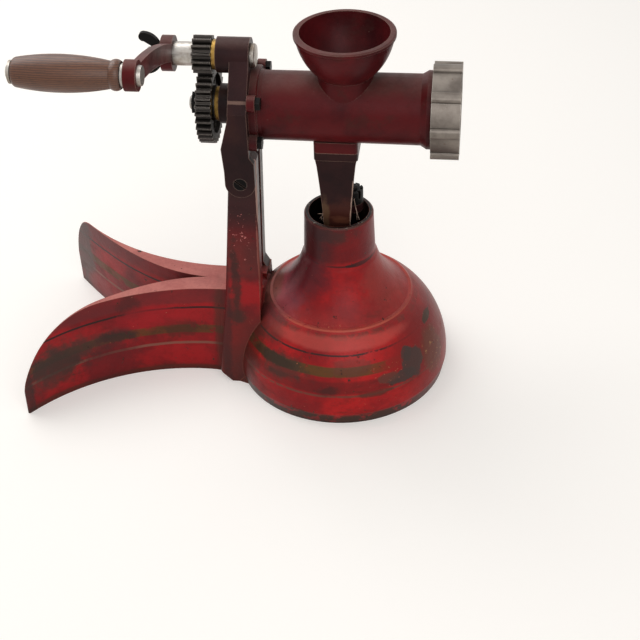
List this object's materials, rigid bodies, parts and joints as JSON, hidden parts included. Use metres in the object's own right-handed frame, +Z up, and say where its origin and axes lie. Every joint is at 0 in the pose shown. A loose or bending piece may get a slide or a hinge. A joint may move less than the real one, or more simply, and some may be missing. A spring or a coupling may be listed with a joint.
{
  "type": "hand crank meat grinder",
  "caption": "Table-standing cast-iron meat grinder: horizontal barrel with hopper and auger, geared hand crank, on a bell-shaped stand with forked legs.",
  "frame": {"origin": "on the table plane, under the centre of the bell", "axes": "+X along the barrel towards the outlet, -X along the legs, +Z up"},
  "size_m": [0.3864, 0.2419, 0.3763],
  "materials": {
    "red_paint": "old gloss paint, worn through to brown primer, with dark and olive pinstripes",
    "maroon_paint": "old dark brown-maroon paint, worn at the edges",
    "black_iron": "oil-blackened iron",
    "worn_iron": "bare handled cast iron, grey-brown",
    "gear_iron": "greasy dark cast iron, bright tooth flanks",
    "cast_steel": "tinned casting, dulled",
    "steel": "turned steel, lightly stained",
    "brass": "dull bearing brass",
    "wood": "turned hardwood, dark with use"
  },
  "bodies": {
    "stand": {"bell": "red_paint", "leg_fork": "red_paint", "uprights": "red_paint", "gear_yoke": "maroon_paint", "centre_post": "maroon_paint", "barrel": "maroon_paint", "post_stud": "black_iron", "post_nut": "black_iron", "post_screws": "black_iron", "cheek_screws": "black_iron", "flange_bolts": "black_iron", "auger_bush": "brass", "crank_bush": "brass", "cutter_plate": "steel", "plate_pin": "steel"},
    "auger": {"auger": "cast_steel", "auger_gear": "gear_iron", "gear_key": "steel", "gear_nut": "black_iron", "knife": "steel"},
    "crank": {"crank_shaft": "steel", "pinion": "gear_iron", "crank_arm": "maroon_paint", "wing_nut": "black_iron", "grip_spindle": "steel"},
    "grip": {"grip": "wood"},
    "ring_nut": {"ring_nut": "worn_iron"}
  },
  "joints": [
    {"name": "crank_turn", "type": "hinge", "parent": "stand", "child": "crank", "pos_m": [-0.0845, 0, 0.318], "axis": [1, 0, 0], "continuous": true},
    {"name": "auger_turn", "type": "hinge", "parent": "stand", "child": "auger", "pos_m": [-0.0845, 0, 0.272], "axis": [1, 0, 0], "continuous": true},
    {"name": "grip_spin", "type": "hinge", "parent": "crank", "child": "grip", "pos_m": [-0.19, -0.12028, 0.36178], "axis": [1, 0, 0], "continuous": true},
    {"name": "ring_nut_turn", "type": "hinge", "parent": "stand", "child": "ring_nut", "pos_m": [0.093, 0, 0.272], "axis": [1, 0, 0], "continuous": true}
  ],
  "couplings": [
    {"joint": "auger_turn", "follows": "crank_turn", "ratio": -0.4375}
  ]
}
